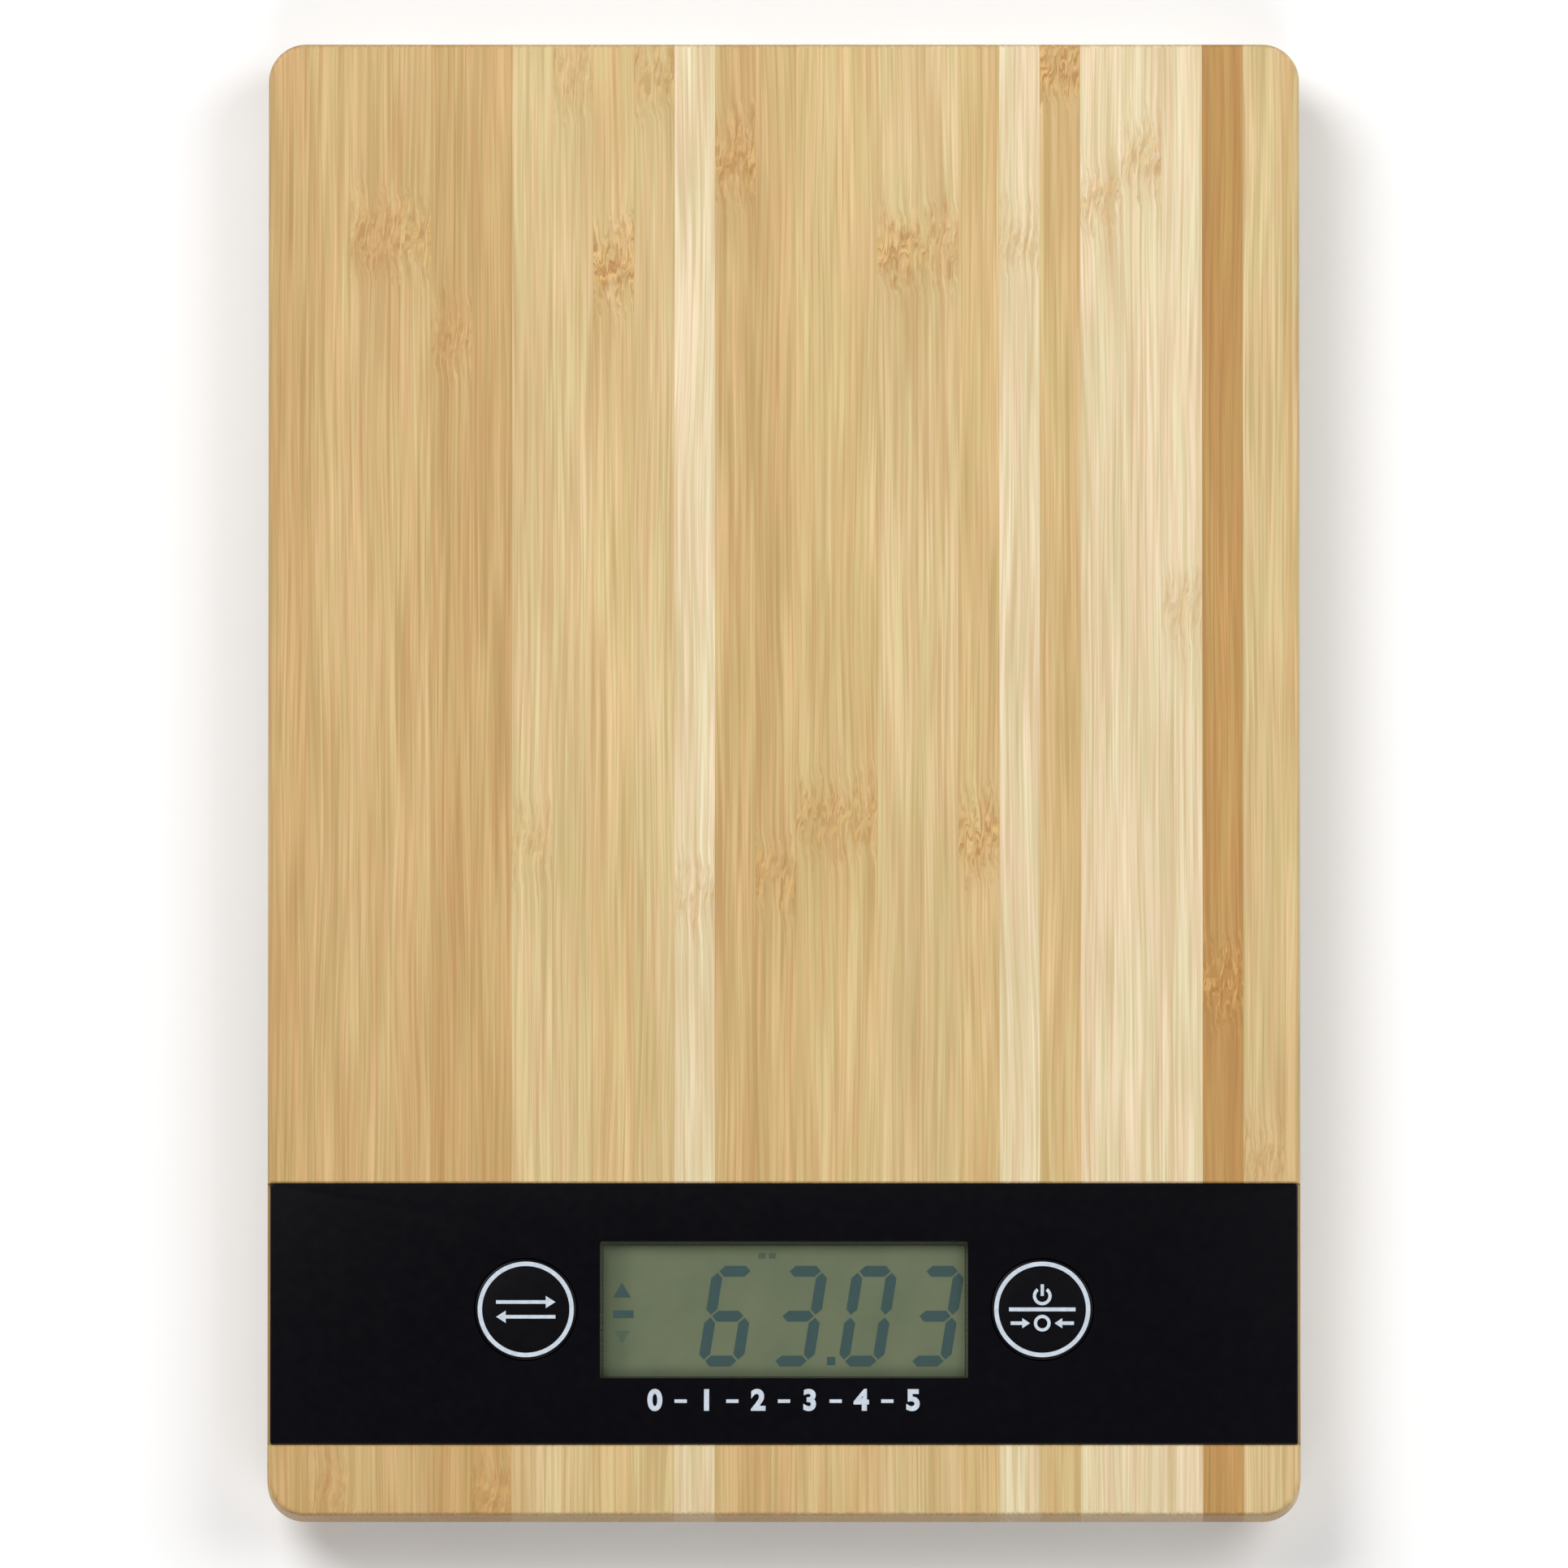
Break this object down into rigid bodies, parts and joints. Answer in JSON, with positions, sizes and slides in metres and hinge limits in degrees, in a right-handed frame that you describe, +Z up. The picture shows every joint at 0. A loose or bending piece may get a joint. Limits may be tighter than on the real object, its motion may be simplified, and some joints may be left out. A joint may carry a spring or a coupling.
{
  "type": "kitchen scale",
  "caption": "Flat digital kitchen scale: laminated bamboo platform, inlaid black panel with a display and round push buttons, shallow base on load-cell feet, hinged battery door underneath.",
  "frame": {"origin": "middle of the footprint on the table, at the underside of the rubber feet", "axes": "+Z up, +Y from the display towards the back, +X to the right of someone reading the display"},
  "size_m": [0.16, 0.23, 0.018],
  "materials": {
    "bamboo": "laminated bamboo, satin",
    "panel_black": "smooth black sheet",
    "key_black": "smooth black",
    "foam_tape": "double-sided adhesive sheet",
    "clear_lens": "clear acrylic",
    "lcd_glass": "polished",
    "lcd_film": "polarising film",
    "lcd_backing": "brushed foil",
    "base_abs": "fine spark texture",
    "frame_abs": "moulded",
    "holder_abs": "moulded",
    "door_abs": "fine spark texture",
    "foot_rubber": "matt",
    "zebra_rubber": "silicone",
    "pad_foam": "foam",
    "fr4": "solder resist",
    "epoxy_black": "domed epoxy",
    "smd_tan": "ceramic",
    "switch_black": "moulded",
    "switch_ivory": "moulded",
    "tin": "tinned",
    "steel": "nickel plated",
    "screw_zinc": "zinc plated",
    "cell_steel": "stamped",
    "gauge_foil": "polyimide film",
    "sealant": "silicone",
    "wire_pvc": "insulation",
    "battery_pvc": "insulation"
  },
  "bodies": {
    "scale_body": {"bamboo_board": "bamboo", "display_panel": "panel_black", "panel_tape": "foam_tape", "display_lens": "clear_lens", "lcd_polariser": "lcd_film", "lcd_front_glass": "lcd_glass", "lcd_rear_glass": "lcd_glass", "lcd_reflector": "lcd_backing", "lcd_holder": "holder_abs", "zebra_connectors": "zebra_rubber", "circuit_board": "fr4", "circuit_board_screws": "screw_zinc", "tact_switch_bodies": "switch_black", "tact_switch_covers": "steel", "controller_chip": "epoxy_black", "surface_mount_parts": "smd_tan", "timing_crystal": "steel", "solder_joints": "tin", "electronics_carrier": "frame_abs", "carrier_screws": "screw_zinc", "base_tray": "base_abs", "base_screws": "screw_zinc", "strain_gauges": "gauge_foil", "gauge_sealant": "sealant", "load_cell_screws": "screw_zinc", "battery_leads": "battery_pvc", "coin_cell": "steel", "contact_positive": "steel", "contact_negative": "steel", "load_cell_front_left": "cell_steel", "cell_leads_front_left": "wire_pvc", "load_cell_front_right": "cell_steel", "cell_leads_front_right": "wire_pvc", "load_cell_rear_left": "cell_steel", "cell_leads_rear_left": "wire_pvc", "load_cell_rear_right": "cell_steel", "cell_leads_rear_right": "wire_pvc"},
    "unit_button": {"unit_keycap": "key_black", "unit_switch_plunger": "switch_ivory"},
    "tare_button": {"tare_keycap": "key_black", "tare_switch_plunger": "switch_ivory"},
    "battery_door": {"battery_door": "door_abs", "battery_door_pad": "pad_foam"},
    "foot_front_left": {"foot_cup_front_left": "base_abs", "foot_pad_front_left": "foot_rubber"},
    "foot_front_right": {"foot_cup_front_right": "base_abs", "foot_pad_front_right": "foot_rubber"},
    "foot_rear_left": {"foot_cup_rear_left": "base_abs", "foot_pad_rear_left": "foot_rubber"},
    "foot_rear_right": {"foot_cup_rear_right": "base_abs", "foot_pad_rear_right": "foot_rubber"}
  },
  "joints": [
    {"name": "unit_press", "type": "slide", "parent": "scale_body", "child": "unit_button", "axis": [0, 0, -1], "range_m": [0, 0.0005], "stiffness_N_per_m": 3200},
    {"name": "tare_press", "type": "slide", "parent": "scale_body", "child": "tare_button", "axis": [0, 0, -1], "range_m": [0, 0.0005], "stiffness_N_per_m": 3200},
    {"name": "foot_load_front_left", "type": "slide", "parent": "scale_body", "child": "foot_front_left", "axis": [0, 0, 1], "range_m": [0, 0.0005], "stiffness_N_per_m": 30000, "deforming": ["load_cell_front_left"]},
    {"name": "foot_load_front_right", "type": "slide", "parent": "scale_body", "child": "foot_front_right", "axis": [0, 0, 1], "range_m": [0, 0.0005], "stiffness_N_per_m": 30000, "deforming": ["load_cell_front_right"]},
    {"name": "foot_load_rear_left", "type": "slide", "parent": "scale_body", "child": "foot_rear_left", "axis": [0, 0, 1], "range_m": [0, 0.0005], "stiffness_N_per_m": 30000, "deforming": ["load_cell_rear_left"]},
    {"name": "foot_load_rear_right", "type": "slide", "parent": "scale_body", "child": "foot_rear_right", "axis": [0, 0, 1], "range_m": [0, 0.0005], "stiffness_N_per_m": 30000, "deforming": ["load_cell_rear_right"]},
    {"name": "battery_door_hinge", "type": "hinge", "parent": "scale_body", "child": "battery_door", "pos_m": [0, 0.0269, 0.0033], "axis": [1, 0, 0], "range_deg": [0, 95]}
  ]
}
